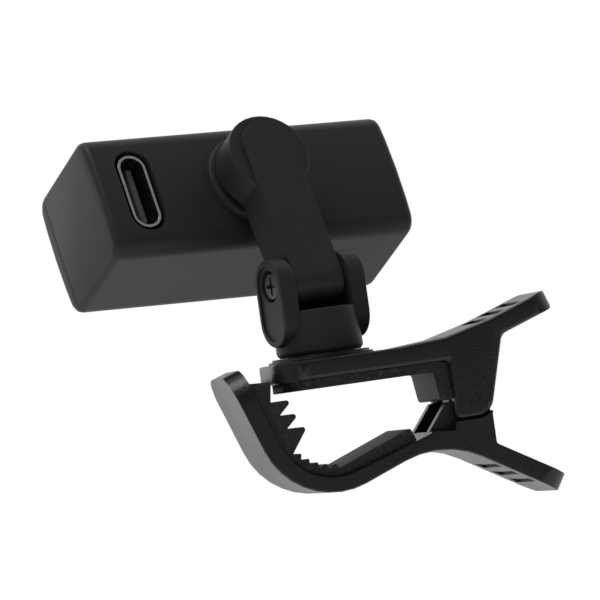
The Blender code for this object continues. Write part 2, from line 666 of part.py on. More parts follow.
def make_torsion_spring():
    """A coil around the pin, with one leg up to the upper handle and one down to the lower."""
    coil_r = PIN_R + SPRING_CLEAR + SPRING_WIRE_R
    leg_x = PIVOT[0] + coil_r
    press = SPRING_WIRE_R + FIT_GAP + SKIN
    roof_z = clipped(rounded(UPPER_UNDER), leg_x - SPRING_WIRE_R, leg_x)[0][1]
    floor_z = clipped(rounded(LOWER_IN), leg_x - SPRING_WIRE_R, leg_x)[0][1]
    half = SPRING_TURNS * SPRING_PITCH / 2
    steps = 14
    points = [(leg_x, -half, roof_z - press)]
    for i in range(SPRING_TURNS * steps + 1):
        u, v = turned_by(-2 * pi * i / steps, coil_r)
        points.append((PIVOT[0] + u, -half + SPRING_PITCH * i / steps, PIVOT[1] + v))
    points.append((leg_x, half, floor_z + press))
    curve = bpy.data.curves.new("torsion_spring", "CURVE")
    curve.dimensions = "3D"
    curve.bevel_depth = SPRING_WIRE_R
    curve.bevel_resolution = 2
    curve.use_fill_caps = True
    spline = curve.splines.new("POLY")
    spline.points.add(len(points) - 1)
    for point, place in zip(spline.points, points):
        point.co = (*place, 1.0)
    spring = keep("torsion_spring", curve, PARTS)
    curve.materials.append(new_material("spring_steel", *FINISHES["spring_steel"]))
    spring.parent = CLIP_FRAME


def make_upper_pad():
    outline = [
        (PAD_TIP_X, PAD_PLATE, 0.0),
        (PAD_TIP_X, 0.0, 0.2 * MM),
        (STOP_FRONT_X, 0.0, 0.3 * MM),
        (STOP_FRONT_X + STOP_LEAN, -STOP_DEEP, 0.4 * MM),
        (CHEEK_FRONT_X - FIT_GAP, -STOP_DEEP, 0.2 * MM),
        (CHEEK_FRONT_X - FIT_GAP, PAD_PLATE, 0.0),
    ]
    pad = prism("upper_pad", rounded(outline), -PAD_HALF, PAD_HALF, "Y", PARTS)
    part(pad, "grip_rubber", CLIP_FRAME)
    cut(pad, tip_cutter("upper_pad_corners", (PAD_TIP_X, 0.0), pi, PAD_HALF, PAD_TIP_ROUND,
                        2 * PAD_PLATE))


def heel_centre():
    """The centre of the hook's heel arc, which the lower pad's short teeth are fanned around."""
    corner = Vector(HOOK_HEEL)
    up_hook = (Vector(HOOK_TIP) - corner).normalized()
    along_jaw = (Vector(LOWER_CREST) - corner).normalized()
    half = up_hook.angle(along_jaw) / 2
    return tuple(corner + (up_hook + along_jaw).normalized() * HOOK_HEEL_R / sin(half))


def make_lower_pad():
    """Rubber liner of the hook: a flat, short teeth round the heel, and long raked fingers."""
    base = offset_run(LOWER_OUT, LOWER_THICK + FIT_GAP)
    body = offset_run(LOWER_OUT, LOWER_THICK + FIT_GAP + FINGER_BASE)
    flat = offset_run(LOWER_OUT, LOWER_THICK + FIT_GAP + FLAT_PAD_THICK)

    def on_run(run, first, value, axis):
        """The point of a run's straight stretch where one coordinate has a value."""
        a, b = run[first], run[first + 1]
        share = (value - a[axis]) / (b[axis] - a[axis])
        return (a[0] + share * (b[0] - a[0]), a[1] + share * (b[1] - a[1]))

    centre = heel_centre()
    root_r = HOOK_HEEL_R - LOWER_THICK - FIT_GAP - TOOTH_BASE
    last_root = TOOTH_FIRST + TOOTH_COUNT * TOOTH_PITCH
    flat_start = added(centre, turned_by(last_root + TOOTH_PITCH / 3, root_r - FLAT_PAD_THICK / 2))
    outline = [(*on_run(base, 0, PAD_HEAD_Z, 1), 0.0), base[1]]
    outline += [(*on_run(base, 1, FLAT_PAD_END_X, 0), 0.0)]
    outline += [(*on_run(flat, 1, FLAT_PAD_END_X - FLAT_PAD_THICK / 2, 0), 0.3 * MM)]
    outline += [(flat_start[0], on_run(flat, 1, flat_start[0], 0)[1], 0.0)]
    for i in reversed(range(TOOTH_COUNT)):
        root = TOOTH_FIRST + (i + 1) * TOOTH_PITCH
        crown = root - 0.38 * TOOTH_PITCH
        outline += [(*added(centre, turned_by(root, root_r)), 0.0),
                    (*added(centre, turned_by(crown, root_r - TOOTH_TALL)), 0.12 * MM)]
    outline += [(*added(centre, turned_by(TOOTH_FIRST, root_r)), 0.0)]
    fan_root = added(centre, turned_by(TOOTH_FIRST, root_r))
    for i in reversed(range(FINGER_COUNT)):
        root = on_run(body, 0, FINGER_TOP_Z - i * FINGER_PITCH * sin(radians(70)), 1)
        crown = added(root, turned_by(FINGER_LIFT, FINGER_LONG))
        outline += [(*crown, 0.3 * MM), (*root, 0.18 * MM)]
    head = on_run(base, 0, PAD_HEAD_Z, 1)
    outline += [(head[0] + PAD_HEAD_LONG, PAD_HEAD_Z - 0.2 * MM, 0.2 * MM)]
    pad = prism("lower_pad", from_pivot(rounded(outline)), -PAD_HALF, PAD_HALF, "Y", PARTS)
    part(pad, "grip_rubber", JAW_FRAME)


# ---------------------------------------------------------------- screws
def add_cross(screw, axis, face, toward, radius, centre):
    """A cross recess in a screw head's outer face."""
    half = CROSS_WIDE / 2
    long = 0.62 * radius
    ends = sorted((face + toward * CROSS_DEEP, face - toward * PAST))
    for name, size in (("cross_a", (half, long)), ("cross_b", (long, half))):
        cut(screw, prism(f"{screw.name}_{name}", rectangle(*size, middle=centre), *ends, axis))


def make_screw(name, finish, frame, axis, face, toward, head, shaft, centre=(0.0, 0.0)):
    """A pan-head screw: its head's outer face at a station, its shaft running toward one way."""
    head_r, head_tall = head
    shaft_r, shaft_long = shaft
    head_ends = sorted((face, face + toward * head_tall))
    shaft_ends = sorted((face + toward * head_tall / 2, face + toward * (head_tall + shaft_long)))
    screw = cylinder(name, head_r, *head_ends, axis, centre, sides=24)
    part(screw, finish, frame)
    soften(screw, head_tall * 0.2, segments=1)
    weld_on(screw, cylinder(f"{name}_shaft", shaft_r, *shaft_ends, axis, centre, sides=20))
    add_cross(screw, axis, face, toward, head_r, centre)


def make_washer(name, finish, frame, axis, start, tall, outer_r, bore_r, centre=(0.0, 0.0)):
    washer = cylinder(name, outer_r, start, start + tall, axis, centre, sides=32)
    part(washer, finish, frame)
    cut(washer, cylinder(f"{name}_bore", bore_r, start - PAST, start + tall + PAST, axis, centre,
                         sides=24))


# ---------------------------------------------------------------- the swivelling fork
def make_fork_base():
    base = cylinder("fork_base", DRUM_FOOT_R, 0.0, DRUM_TALL, "Z", top_radius=DRUM_TOP_R, sides=48)
    part(base, "housing_plastic", SWIVEL_FRAME)
    soften(base, DRUM_EDGE, angle=radians(60))
    ear = stadium(0.0, EAR_FOOT, HINGE_TALL + EAR_R, EAR_R)
    for name, side in (("left_ear", -1), ("right_ear", 1)):
        lug = prism(name, ear, *sorted((side * SLOT_HALF, side * EAR_OUT)), "X")
        soften(lug, DRUM_EDGE, angle=radians(60))
        weld_on(base, lug)
    wall = block("tilt_stop", (-SLOT_HALF - SKIN, TILT_STOP_Y, DRUM_TALL / 2),
                 (SLOT_HALF + SKIN, TILT_STOP_Y + TILT_STOP_THICK, TILT_STOP_TALL))
    weld_on(base, wall)
    pocket = stadium(0.0, EAR_FOOT + EAR_POCKET_RIM, HINGE_TALL + EAR_R - EAR_POCKET_RIM,
                     EAR_R - EAR_POCKET_RIM)
    cut(base, prism("ear_pocket", pocket, -EAR_OUT - PAST, -EAR_OUT + EAR_POCKET_DEEP, "X"))
    head_in = EAR_OUT - HINGE_HEAD_SUNK - HINGE_HEAD_TALL - FIT_GAP
    axis_point = (0.0, HINGE_TALL)
    cut(base, cylinder("hinge_head_bore", HINGE_HEAD_R + RUN_GAP, -EAR_OUT - PAST, -head_in, "X",
                       axis_point, sides=24),
        cylinder("hinge_bore", HINGE_SCREW_R + RUN_GAP, -EAR_OUT, EAR_OUT, "X", axis_point,
                 sides=20),
        nut_prism("nut_pocket", NUT_HALF_FLATS + FIT_GAP, NUT_IN_X - FIT_GAP, EAR_OUT + PAST))
    cut(base, cylinder("swivel_blind_bore", SCREW_BORE_R, -PAST, SWIVEL_BORE_DEEP, "Z", sides=24),
        cylinder("washer_recess", WASHER_R + FIT_GAP, -PAST, WASHER_TALL + FIT_GAP, "Z", sides=32))


def nut_prism(name, half_flats, start, end):
    corner_r = half_flats / cos(pi / 6)
    corners = [turned_by(pi / 3 * i, corner_r) for i in range(6)]
    return prism(name, [added((0.0, HINGE_TALL), corner) for corner in corners], start, end, "X")


def make_fork_hardware():
    make_screw("swivel_screw", "bright_steel", SWIVEL_FRAME, "Z", SCREW_HEAD_Z - DRUM_Z, 1,
               (SCREW_HEAD_R, SCREW_HEAD_TALL),
               (SCREW_R, DRUM_Z + SWIVEL_BORE_DEEP - FIT_GAP - SCREW_HEAD_Z - SCREW_HEAD_TALL))
    make_washer("swivel_washer", "nylon", SWIVEL_FRAME, "Z", 0.0, WASHER_TALL, WASHER_R,
                SCREW_BORE_R)
    face = -EAR_OUT + HINGE_HEAD_SUNK
    make_screw("hinge_screw", "black_steel", SWIVEL_FRAME, "X", face, 1,
               (HINGE_HEAD_R, HINGE_HEAD_TALL),
               (HINGE_SCREW_R, NUT_IN_X + NUT_TALL - face - HINGE_HEAD_TALL - FIT_GAP),
               (0.0, HINGE_TALL))
    nut = nut_prism("hinge_nut", NUT_HALF_FLATS, NUT_IN_X, NUT_IN_X + NUT_TALL)
    part(nut, "black_steel", SWIVEL_FRAME)
    cut(nut, cylinder("nut_bore", HINGE_SCREW_R + RUN_GAP, 0.0, EAR_OUT + PAST, "X",
                      (0.0, HINGE_TALL), sides=20))


# ---------------------------------------------------------------- the tilting arm
def boss_outline(half_neck, radius, fillet, centre_v):
    """A round boss whose sides run down into a narrower neck through two fillets."""
    fillet_u = half_neck + fillet
    drop = sqrt((radius + fillet) ** 2 - fillet_u ** 2)
    lean = atan2(drop, fillet_u)
    right = arc_points((fillet_u, centre_v - drop), fillet, pi, pi - lean)
    crown = arc_points((0.0, centre_v), radius, -lean, pi + lean)
    left = arc_points((-fillet_u, centre_v - drop), fillet, lean, 0.0)
    return right + crown[1:-1] + left


def make_swivel_arm():
    """A bar from the hinge barrel up to a round boss around the spin axis."""
    top_v = ARM_LONG + ARM_TOP_OFFSET + ARM_WIDTH / 2
    half = ARM_WIDTH / 2
    side = arc_points((0.0, 0.0), BARREL_R, pi + asin(1 - ARM_FRONT / BARREL_R), 2 * pi)
    side = [(-ARM_FRONT, top_v), (-ARM_FRONT, 0.0)] + side
    side += [(ARM_BACK, ARM_HEEL_UP), (ARM_BACK, top_v)]
    arm = prism("swivel_arm", side, -half, half, "X")
    part(arm, "housing_plastic", TILT_FRAME)
    trim_to(arm, prism("arm_front_view", stadium(0.0, -half - PAST, top_v, half),
                       -ARM_BACK - PAST, ARM_BACK + PAST, "Y"))
    soften(arm, ARM_EDGE)
    boss = prism("spin_boss", boss_outline(half - SKIN, ARM_BOSS_R, BOSS_FILLET, ARM_LONG),
                 -ARM_FRONT + ARM_BOSS_DROP, ARM_BACK, "Y")
    soften(boss, ARM_EDGE)
    weld_on(arm, boss)
    cut(arm, cylinder("arm_hinge_bore", HINGE_SCREW_R + RUN_GAP, -half - PAST, half + PAST, "X",
                      sides=20),
        cylinder("spin_blind_bore", SCREW_BORE_R, -ARM_FRONT + ARM_BORE_SKIN, ARM_BACK + PAST, "Y",
                 (0.0, ARM_LONG), sides=24))


def make_spin_hardware():
    centre = (0.0, ARM_LONG)
    face = HEAD_STANDOFF + SPIN_HEAD_Y + SPIN_HEAD_TALL
    shaft_end = -ARM_FRONT + ARM_BORE_SKIN + FIT_GAP
    make_screw("spin_screw", "bright_steel", TILT_FRAME, "Y", face, -1,
               (SCREW_HEAD_R, SPIN_HEAD_TALL),
               (SCREW_R, face - SPIN_HEAD_TALL - shaft_end), centre)
    make_washer("spin_washer", "nylon", TILT_FRAME, "Y", HEAD_STANDOFF + HEAD_WALL + FIT_GAP,
                SPIN_WASHER_TALL, SPIN_WASHER_R, SCREW_BORE_R, centre)


# ---------------------------------------------------------------- the display head
def head_body(name, finish):
    """The head's whole outer form: crowned back and front, rounded long edges and ends."""
    crown_r = (HALF_TALL ** 2 + HEAD_CROWN ** 2) / (2 * HEAD_CROWN)
    half_angle = asin(HALF_TALL / crown_r)
    corners = []
    for centre_y, facing in ((crown_r, pi), (HEAD_DEEP - crown_r, 0.0)):
        for share in (-1.0, -0.5, 0.0, 0.5, 1.0):
            radius = HEAD_CORNER if abs(share) == 1.0 else 0.0
            step = turned_by(facing + share * half_angle, crown_r)
            corners.append((centre_y + step[0], step[1], radius))
    body = prism(name, rounded(corners), -HALF_LONG, HALF_LONG, "X")
    part(body, finish, HEAD_FRAME)
    soften(body, HEAD_END_EDGE, segments=3)
    return body


def head_room(name, start_y, end_y):
    """A cutter for the space inside the head's walls."""
    outline = rectangle(ROOM_END, ROOM_TOP, HEAD_CORNER - HEAD_WALL)
    return prism(name, outline, start_y, end_y, "Y")


def head_slab(name, start_y, end_y):
    """A cutter that takes a whole slice of the head away."""
    reach = HALF_LONG + PAST
    return block(name, (-reach, start_y, -reach), (reach, end_y, reach))


POSTS = ((LEFT_POST_X, POST_Z), (LEFT_POST_X, -POST_Z), (RIGHT_POST_X, -POST_Z))
BUTTONS = (("power", POWER_BUTTON_X), ("mode", MODE_BUTTON_X))


def shell_outline(grow):
    """The receptacle's racetrack outline in X and Z, grown or shrunk."""
    half = USB_SHELL_LONG / 2 + grow
    return stadium(USB_X, -half, half, USB_SHELL_WIDE / 2 + grow)


def make_rear_housing():
    housing = head_body("rear_housing", "housing_plastic")
    cut(housing, head_slab("housing_front_cut", HOUSING_FRONT, HEAD_DEEP + PAST),
        head_room("housing_room", HEAD_WALL, HEAD_DEEP + PAST))
    pedestal = cylinder("pedestal", PEDESTAL_R, -PEDESTAL_TALL, HEAD_WALL / 2, "Y", sides=48)
    soften(pedestal, ARM_EDGE)
    weld_on(housing, pedestal)
    cut(housing, cylinder("pedestal_dish", PEDESTAL_DISH_R, -PEDESTAL_TALL - PAST,
                          PEDESTAL_DISH_DEEP - PEDESTAL_TALL, "Y", sides=48),
        cylinder("spin_bore", SCREW_BORE_R, -PEDESTAL_TALL - PAST, HEAD_WALL + PAST, "Y", sides=24),
        prism("usb_hole", shell_outline(USB_HOLE_CLEAR), -PAST, HEAD_WALL + PAST, "Y"))
    for i, place in enumerate(POSTS):
        screw_end = BOARD_FRONT + FIT_GAP - POST_SCREW_LONG - FIT_GAP
        weld_on(housing, cylinder(f"board_post_{i + 1}", POST_R, HEAD_WALL / 2,
                                  BOARD_BACK - FIT_GAP, "Y", place, sides=20))
        cut(housing, cylinder(f"post_bore_{i + 1}", POST_SCREW_R + RUN_GAP, screw_end,
                              BOARD_BACK + PAST, "Y", place, sides=16))
    for name, x in BUTTONS:
        hole = rectangle(BUTTON_HALF_LONG + RUN_GAP, BUTTON_HALF_WIDE + RUN_GAP,
                         BUTTON_HALF_WIDE, (x, BUTTON_Y))
        cut(housing, prism(f"{name}_button_hole", hole, ROOM_TOP - PAST, HALF_TALL + PAST, "Z"))


def make_display():
    bezel = head_body("front_bezel", "housing_plastic")
    window = rectangle(WINDOW_LONG / 2, WINDOW_TALL / 2, WINDOW_ROUND)
    cut(bezel, head_slab("bezel_back_cut", -PAST, BEZEL_BACK),
        head_room("bezel_room", 0.0, MASK_ROOM_FRONT),
        prism("window", window, HEAD_WALL, HEAD_DEEP + PAST, "Y"))
    lens_front = HEAD_DEEP - LENS_SUNK
    lens = prism("display_lens", rectangle(WINDOW_LONG / 2 - FIT_GAP, WINDOW_TALL / 2 - FIT_GAP,
                                           WINDOW_ROUND - FIT_GAP),
                 lens_front - LENS_THICK, lens_front, "Y")
    part(lens, "lens", HEAD_FRAME)
    mask = prism("display_mask", rectangle(ROOM_END - FIT_GAP, ROOM_TOP - FIT_GAP, WINDOW_ROUND),
                 MASK_FRONT - MASK_THICK, MASK_FRONT, "Y")
    part(mask, "housing_plastic", HEAD_FRAME)
    cut(mask, prism("mask_opening", rectangle(WINDOW_LONG / 2 - MASK_BORDER,
                                              WINDOW_TALL / 2 - MASK_BORDER, WINDOW_ROUND),
                    HEAD_WALL, HEAD_DEEP, "Y"))
    front = MASK_FRONT - MASK_THICK - FIT_GAP
    for name, finish, size in (("lcd_panel", "lcd_glass", LCD_SIZE),
                               ("backlight_panel", "light_diffuser", BACKLIGHT_SIZE)):
        panel = block(name, (-size[0] / 2, front - size[1], -size[2] / 2),
                      (size[0] / 2, front, size[2] / 2))
        part(panel, finish, HEAD_FRAME)
        soften(panel, SKIN, segments=1)
        front -= size[1] + FIT_GAP


def make_board():
    board = prism("main_board", rectangle(ROOM_END - BOARD_SIDE_GAP, ROOM_TOP - BOARD_SIDE_GAP,
                                          POST_SCREW_R), BOARD_BACK, BOARD_FRONT, "Y")
    part(board, "board_laminate", HEAD_FRAME)
    for i, place in enumerate(POSTS):
        cut(board, cylinder(f"board_hole_{i + 1}", POST_SCREW_R + RUN_GAP, BOARD_BACK - PAST,
                            BOARD_FRONT + PAST, "Y", place, sides=16))
        face = BOARD_FRONT + FIT_GAP + POST_SCREW_HEAD_TALL
        make_screw(f"board_screw_{i + 1}", "bright_steel", HEAD_FRAME, "Y", face, -1,
                   (POST_SCREW_HEAD_R, POST_SCREW_HEAD_TALL), (POST_SCREW_R, POST_SCREW_LONG),
                   place)
    mounted = BOARD_BACK - FIT_GAP
    chip = block("control_chip",
                 (CHIP_X - CHIP_SIZE[0] / 2, mounted - CHIP_SIZE[1], CHIP_Z - CHIP_SIZE[2] / 2),
                 (CHIP_X + CHIP_SIZE[0] / 2, mounted, CHIP_Z + CHIP_SIZE[2] / 2))
    part(chip, "chip_epoxy", HEAD_FRAME)
    soften(chip, SKIN, segments=1)
    battery_back = SPIN_HEAD_Y + SPIN_HEAD_TALL + 2 * FIT_GAP
    battery = prism("battery_cell", rectangle(BATTERY_SIZE[0] / 2, BATTERY_SIZE[2] / 2,
                                              middle=(BATTERY_X, 0.0)),
                    battery_back, battery_back + BATTERY_SIZE[1], "Y")
    part(battery, "battery_foil", HEAD_FRAME)
    soften(battery, 0.6 * MM)
    piezo_back = HEAD_WALL + FIT_GAP
    piezo = cylinder("piezo_disc", PIEZO_R, piezo_back, piezo_back + PIEZO_PLATE, "Y",
                     (PIEZO_X, 0.0))
    part(piezo, "piezo_brass", HEAD_FRAME)
    weld_on(piezo, cylinder("piezo_ceramic", PIEZO_CERAMIC_R, piezo_back + PIEZO_PLATE / 2,
                            piezo_back + PIEZO_TALL, "Y", (PIEZO_X, 0.0)))


def make_usb_port():
    shell = prism("usb_shell", shell_outline(0.0), USB_SUNK, BOARD_BACK - FIT_GAP, "Y")
    part(shell, "bright_steel", HEAD_FRAME)
    cut(shell, prism("shell_inside", shell_outline(-USB_SHELL_WALL), -PAST, BOARD_BACK + PAST, "Y"))
    base_end = BOARD_BACK - FIT_GAP
    tongue = prism("usb_tongue", shell_outline(-USB_SHELL_WALL - FIT_GAP),
                   base_end - USB_BASE_DEEP, base_end, "Y")
    part(tongue, "usb_insulator", HEAD_FRAME)
    blade = block("tongue_blade",
                  (USB_X - USB_TONGUE_THICK / 2, USB_SUNK + USB_TONGUE_SUNK, -USB_TONGUE_LONG / 2),
                  (USB_X + USB_TONGUE_THICK / 2, base_end - USB_BASE_DEEP / 2, USB_TONGUE_LONG / 2))
    soften(blade, SKIN, segments=1)
    weld_on(tongue, blade)


def make_buttons():
    lip_top = ROOM_TOP - FIT_GAP
    lip_low = lip_top - BUTTON_LIP_TALL
    stem_low = lip_low - BUTTON_STEM
    plunger_top = stem_low - BUTTON_TRAVEL - SWITCH_REST_GAP
    body_top = plunger_top - SWITCH_PLUNGER_TALL
    mounted = BOARD_BACK - FIT_GAP
    for name, x in BUTTONS:
        place = (x, BUTTON_Y)
        frame = new_frame(f"{name}_button_frame", (x, BUTTON_Y, HALF_TALL), parent=HEAD_FRAME)
        cap = prism(f"{name}_button", rectangle(BUTTON_HALF_LONG, BUTTON_HALF_WIDE,
                                                BUTTON_HALF_WIDE - SKIN),
                    lip_low - HALF_TALL, BUTTON_PROUD, "Z")
        part(cap, "button_rubber", frame)
        soften(cap, 2 * SKIN)
        lip = prism(f"{name}_button_lip",
                    rectangle(BUTTON_HALF_LONG + BUTTON_LIP, BUTTON_HALF_WIDE + BUTTON_LIP,
                              BUTTON_HALF_WIDE), lip_low - HALF_TALL, lip_top - HALF_TALL, "Z")
        stem = block(f"{name}_button_stem",
                     (-BUTTON_POST_HALF, -BUTTON_POST_HALF, stem_low - HALF_TALL),
                     (BUTTON_POST_HALF, BUTTON_POST_HALF, lip_top - HALF_TALL))
        weld_on(cap, lip, stem)
        body = block(f"{name}_switch",
                     (x - SWITCH_SIZE[0] / 2, mounted - SWITCH_SIZE[1], body_top - SWITCH_SIZE[2]),
                     (x + SWITCH_SIZE[0] / 2, mounted, body_top))
        part(body, "chip_epoxy", HEAD_FRAME)
        soften(body, SKIN, segments=1)
        plunger = rectangle(SWITCH_PLUNGER_HALF, SWITCH_PLUNGER_HALF, middle=place)
        weld_on(body, prism(f"{name}_switch_plunger", plunger, body_top - SKIN, plunger_top, "Z"))


make_upper_lever()
make_lower_lever()
make_clip_pin()
make_torsion_spring()
make_upper_pad()
make_lower_pad()
make_fork_base()
make_fork_hardware()
make_swivel_arm()
make_spin_hardware()
make_rear_housing()
make_display()
make_board()
make_usb_port()
make_buttons()
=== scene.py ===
# %% [markdown]
# # A clip-on tuner, finished for a picture
#
# The tuner is made of seven bodies that move on each other: two clip levers, a fork that
# swivels, an arm that tilts, a display head that spins, and two small keys. The frame gives
# every piece its shape and place in metres. This lesson keeps those shapes, rounds their
# edges, adds the small parts that a solid model leaves out, and gives each piece a finish.

import json
import math

import bmesh
import bpy
from mathutils import Matrix, Vector
from mathutils.bvhtree import BVHTree

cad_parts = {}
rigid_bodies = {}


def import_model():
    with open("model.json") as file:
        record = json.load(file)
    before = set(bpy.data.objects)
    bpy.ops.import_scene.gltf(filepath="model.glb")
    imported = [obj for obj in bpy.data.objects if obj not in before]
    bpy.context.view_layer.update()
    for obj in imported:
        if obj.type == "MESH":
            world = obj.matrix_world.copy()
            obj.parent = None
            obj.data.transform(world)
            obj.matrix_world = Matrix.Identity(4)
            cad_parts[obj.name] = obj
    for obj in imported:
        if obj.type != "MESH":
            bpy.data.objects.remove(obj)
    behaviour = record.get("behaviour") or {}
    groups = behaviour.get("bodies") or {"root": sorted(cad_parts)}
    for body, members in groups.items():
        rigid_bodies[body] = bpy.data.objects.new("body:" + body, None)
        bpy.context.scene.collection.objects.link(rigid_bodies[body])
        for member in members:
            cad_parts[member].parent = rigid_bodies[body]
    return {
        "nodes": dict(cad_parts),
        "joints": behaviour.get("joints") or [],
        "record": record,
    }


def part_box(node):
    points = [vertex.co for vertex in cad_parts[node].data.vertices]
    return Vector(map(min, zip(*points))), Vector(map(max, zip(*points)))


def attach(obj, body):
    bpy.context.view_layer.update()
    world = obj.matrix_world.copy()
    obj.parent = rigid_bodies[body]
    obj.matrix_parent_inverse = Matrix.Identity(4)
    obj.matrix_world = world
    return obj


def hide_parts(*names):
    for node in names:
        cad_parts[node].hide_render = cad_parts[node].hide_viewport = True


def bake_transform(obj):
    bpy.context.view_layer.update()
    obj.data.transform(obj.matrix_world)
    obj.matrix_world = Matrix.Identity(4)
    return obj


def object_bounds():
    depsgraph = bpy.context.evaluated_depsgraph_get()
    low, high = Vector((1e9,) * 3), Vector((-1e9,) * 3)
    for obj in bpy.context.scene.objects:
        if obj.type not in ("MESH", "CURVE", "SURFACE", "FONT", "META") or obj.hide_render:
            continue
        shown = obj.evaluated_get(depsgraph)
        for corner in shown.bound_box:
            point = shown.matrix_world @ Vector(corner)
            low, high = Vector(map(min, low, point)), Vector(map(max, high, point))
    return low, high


for thing in list(bpy.data.objects):
    bpy.data.objects.remove(thing)
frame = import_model()
cad_low, cad_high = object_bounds()
print("overall size in mm:", [round(v * 1000, 1) for v in cad_high - cad_low])

# %% [markdown]
# ## Camera
#
# The object is seen from behind the head with a long lens, so lines that run away from the
# eye hardly come together. The camera is turned a few degrees about its own line of sight.
# Three unit vectors say where right, up and back are, and they fill a matrix's columns.

# %% Place the camera
MM = 0.001
RIGHT = Vector((0.9758, -0.1676, -0.1404))
UP = Vector((0.1357, -0.0390, 0.9900))
BACK = Vector((-0.1714, -0.9851, -0.0154))
EYE = Vector((-0.11156, -0.63316, -0.00025))

lens = bpy.data.cameras.new("long_lens")
lens.lens, lens.sensor_width = 361.2, 36.0
lens.clip_start, lens.clip_end = 0.05, 20.0
camera = bpy.data.objects.new("camera", lens)
camera.matrix_world = Matrix((
    (RIGHT.x, UP.x, BACK.x, EYE.x),
    (RIGHT.y, UP.y, BACK.y, EYE.y),
    (RIGHT.z, UP.z, BACK.z, EYE.z),
    (0.0, 0.0, 0.0, 1.0),
))
bpy.context.scene.collection.objects.link(camera)
bpy.context.scene.camera = camera
print("the camera stands", round(EYE.length * 1000), "mm away")

# %% [markdown]
# ## Writing materials as arithmetic
#
# A node material is a sum of small steps. Wrapping a socket in a class lets Python's own
# operators add the Math nodes, so a formula reads as a formula. Every other node comes from
# one method, which sets the node's settings first and its sockets after.

# %% The value class
class Value:
    """One socket of a finish. Arithmetic on it adds Math nodes."""

    def __init__(self, finish, socket):
        self.finish, self.socket = finish, socket

    def maths(self, operation, *terms):
        sockets = dict(zip(("Value", "Value_001"), terms))
        return self.finish.add("ShaderNodeMath", {"operation": operation}, sockets)

    def __add__(self, other):
        return self.maths("ADD", self, other)

    __radd__ = __add__

    def __sub__(self, other):
        return self.maths("SUBTRACT", self, other)

    def __rsub__(self, other):
        return self.maths("SUBTRACT", other, self)

    def __mul__(self, other):
        return self.maths("MULTIPLY", self, other)

    __rmul__ = __mul__

    def __gt__(self, other):
        return self.maths("GREATER_THAN", self, other)

    def __lt__(self, other):
        return self.maths("LESS_THAN", self, other)

    def __abs__(self):
        return self.maths("ABSOLUTE", self)


print("operators on a value:", ", ".join(("+", "-", "*", ">", "<", "abs")))

# %% [markdown]
# A finish is the material itself. It owns the node tree, hands out clouds of noise, mixes of
# two colours and bumps, and ends in one Principled shader. Sizes are given in millimetres,
# and every pattern sits on Object coordinates, so it stays on the piece when that moves.

# %% The finish class
class Finish:
    """A material for one kind of surface."""

    def __init__(self, name):
        self.material = bpy.data.materials.new("tuner_" + name)
        self.material.use_nodes = True
        self.tree = self.material.node_tree
        self.tree.nodes.clear()
        self.place = self.add("ShaderNodeTexCoord", output="Object")

    def add(self, kind, settings=None, inputs=None, output=None):
        node = self.tree.nodes.new(kind)
        for name, setting in (settings or {}).items():
            setattr(node, name, setting)
        for name, given in (inputs or {}).items():
            socket = next(s for s in node.inputs if s.identifier == name)
            if isinstance(given, Value):
                self.tree.links.new(given.socket, socket)
            else:
                socket.default_value = given
        outputs = [s for s in node.outputs if output is None or s.identifier == output]
        return Value(self, outputs[0]) if outputs else None

    def noise(self, size, detail=2.0):
        """Cloudy values round 0.5 whose blobs are about size millimetres across."""
        return self.add("ShaderNodeTexNoise", None, {
            "Vector": self.place, "Scale": 0.5 / (size * MM), "Detail": detail}, "Fac")

    def shade(self, factor, dark, light):
        return self.add("ShaderNodeMix", {"data_type": "RGBA"}, {
            "Factor_Float": factor, "A_Color": (*dark, 1.0), "B_Color": (*light, 1.0)},
            "Result_Color")

    def relief(self, height, depth):
        """A bump whose highest points stand depth millimetres above its lowest."""
        return self.add("ShaderNodeBump", None, {
            "Height": height, "Distance": depth * MM, "Strength": 1.0}, "Normal")

    def surface(self, **inputs):
        sockets = {name.replace("_", " "): given for name, given in inputs.items()}
        shader = self.add("ShaderNodeBsdfPrincipled", None, sockets, "BSDF")
        self.add("ShaderNodeOutputMaterial", None, {"Surface": shader})
        return self.material


print("a finish can now be written as a formula")

# %% [markdown]
# ## Moulded plastic
#
# The head, arm and fork are black ABS with a fine spark-eroded grain, which breaks up
# reflections. The clip levers come from a smoother tool. Both need two scales: a grain a
# tenth of a millimetre across for the bump, and a slow drift in roughness, because handled
# plastic is never evenly dull.

# %% Plastic finishes
def moulded(name, colour, roughness, grain, depth, gloss=0.5):
    finish = Finish(name)
    drift, fine = finish.noise(6.0), finish.noise(grain, 4.0)
    dust = finish.noise(0.16, 1.0) > 0.765
    lighter = tuple(c * 1.5 + 0.05 for c in colour)
    return finish.surface(
        Base_Color=finish.shade(drift * 0.06 + dust * 0.6, colour, lighter),
        Roughness=roughness + (drift - 0.5) * 0.16 + (fine - 0.5) * 0.10,
        Normal=finish.relief(fine, depth),
        Specular_IOR_Level=gloss,
    )


HOUSING = moulded("housing_plastic", (0.0260, 0.0260, 0.0265), 0.47, 0.10, 0.020, 0.25)
CLIP = moulded("clip_plastic", (0.0075, 0.0075, 0.0076), 0.36, 0.16, 0.030)
SWITCH = moulded("chip_epoxy", (0.020, 0.020, 0.021), 0.55, 0.08, 0.012)
NYLON = moulded("nylon", (0.62, 0.61, 0.57), 0.45, 0.20, 0.008)
KEY = moulded("button_rubber", (0.012, 0.012, 0.013), 0.62, 0.12, 0.012)
# painted highlight: a paler plastic for the arm's bevelled edges, standing in for the light
# they catch
GLINT_PAINT = moulded("painted_edge_glint", (0.075, 0.075, 0.078), 0.42, 0.10, 0.010)
print("moulded finishes:", HOUSING.name, CLIP.name, NYLON.name, KEY.name)

# %% [markdown]
# ## Grip rubber
#
# The pads are a soft, slightly brown-black rubber that holds dust. Rubber scatters light, so
# it is rough all over, with coarser pores than plastic.

